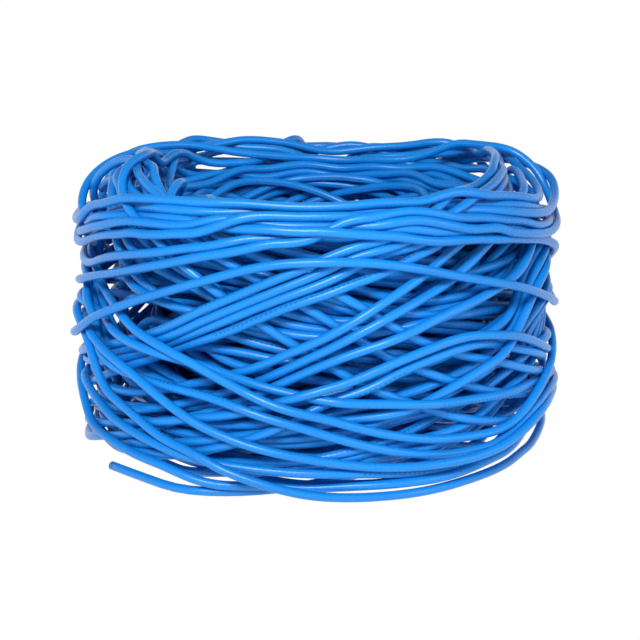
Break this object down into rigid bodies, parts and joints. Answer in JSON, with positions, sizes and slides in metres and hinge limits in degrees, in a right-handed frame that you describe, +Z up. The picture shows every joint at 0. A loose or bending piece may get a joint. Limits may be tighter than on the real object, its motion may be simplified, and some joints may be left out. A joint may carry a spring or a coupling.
{
  "type": "cable coil",
  "caption": "Loose cross-wound coil of round four-pair data cable standing on its flat end, with an open core and one free bare cut end lying beside it.",
  "frame": {"origin": "centre of the flat end that the coil stands on, on the core's axis", "axes": "+Z up along the core's axis; -Y is the side the picture shows; the free cut end lies on the floor at -X, -Y"},
  "size_m": [0.3359, 0.336, 0.2],
  "materials": {
    "jacket_pvc": "extruded flexible PVC, semi-gloss",
    "separator": "extruded natural polyethylene",
    "ripcord": "twisted nylon thread",
    "copper": "bare drawn copper, bright where cut",
    "skin_blue": "extruded polyethylene",
    "skin_white_blue": "extruded polyethylene, pale with a colour stripe",
    "skin_orange": "extruded polyethylene",
    "skin_white_orange": "extruded polyethylene, pale with a colour stripe",
    "skin_green": "extruded polyethylene",
    "skin_white_green": "extruded polyethylene, pale with a colour stripe",
    "skin_brown": "extruded polyethylene",
    "skin_white_brown": "extruded polyethylene, pale with a colour stripe"
  },
  "bodies": {
    "root": {"cable_coil": "jacket_pvc", "tail_cable": "jacket_pvc", "tail_jacket": "jacket_pvc", "pair_separator": "separator", "ripcord": "ripcord", "conductor_blue": "copper", "conductor_white_blue": "copper", "conductor_orange": "copper", "conductor_white_orange": "copper", "conductor_green": "copper", "conductor_white_green": "copper", "conductor_brown": "copper", "conductor_white_brown": "copper", "insulation_blue": "skin_blue", "insulation_white_blue": "skin_white_blue", "insulation_orange": "skin_orange", "insulation_white_orange": "skin_white_orange", "insulation_green": "skin_green", "insulation_white_green": "skin_white_green", "insulation_brown": "skin_brown", "insulation_white_brown": "skin_white_brown"}
  },
  "joints": []
}
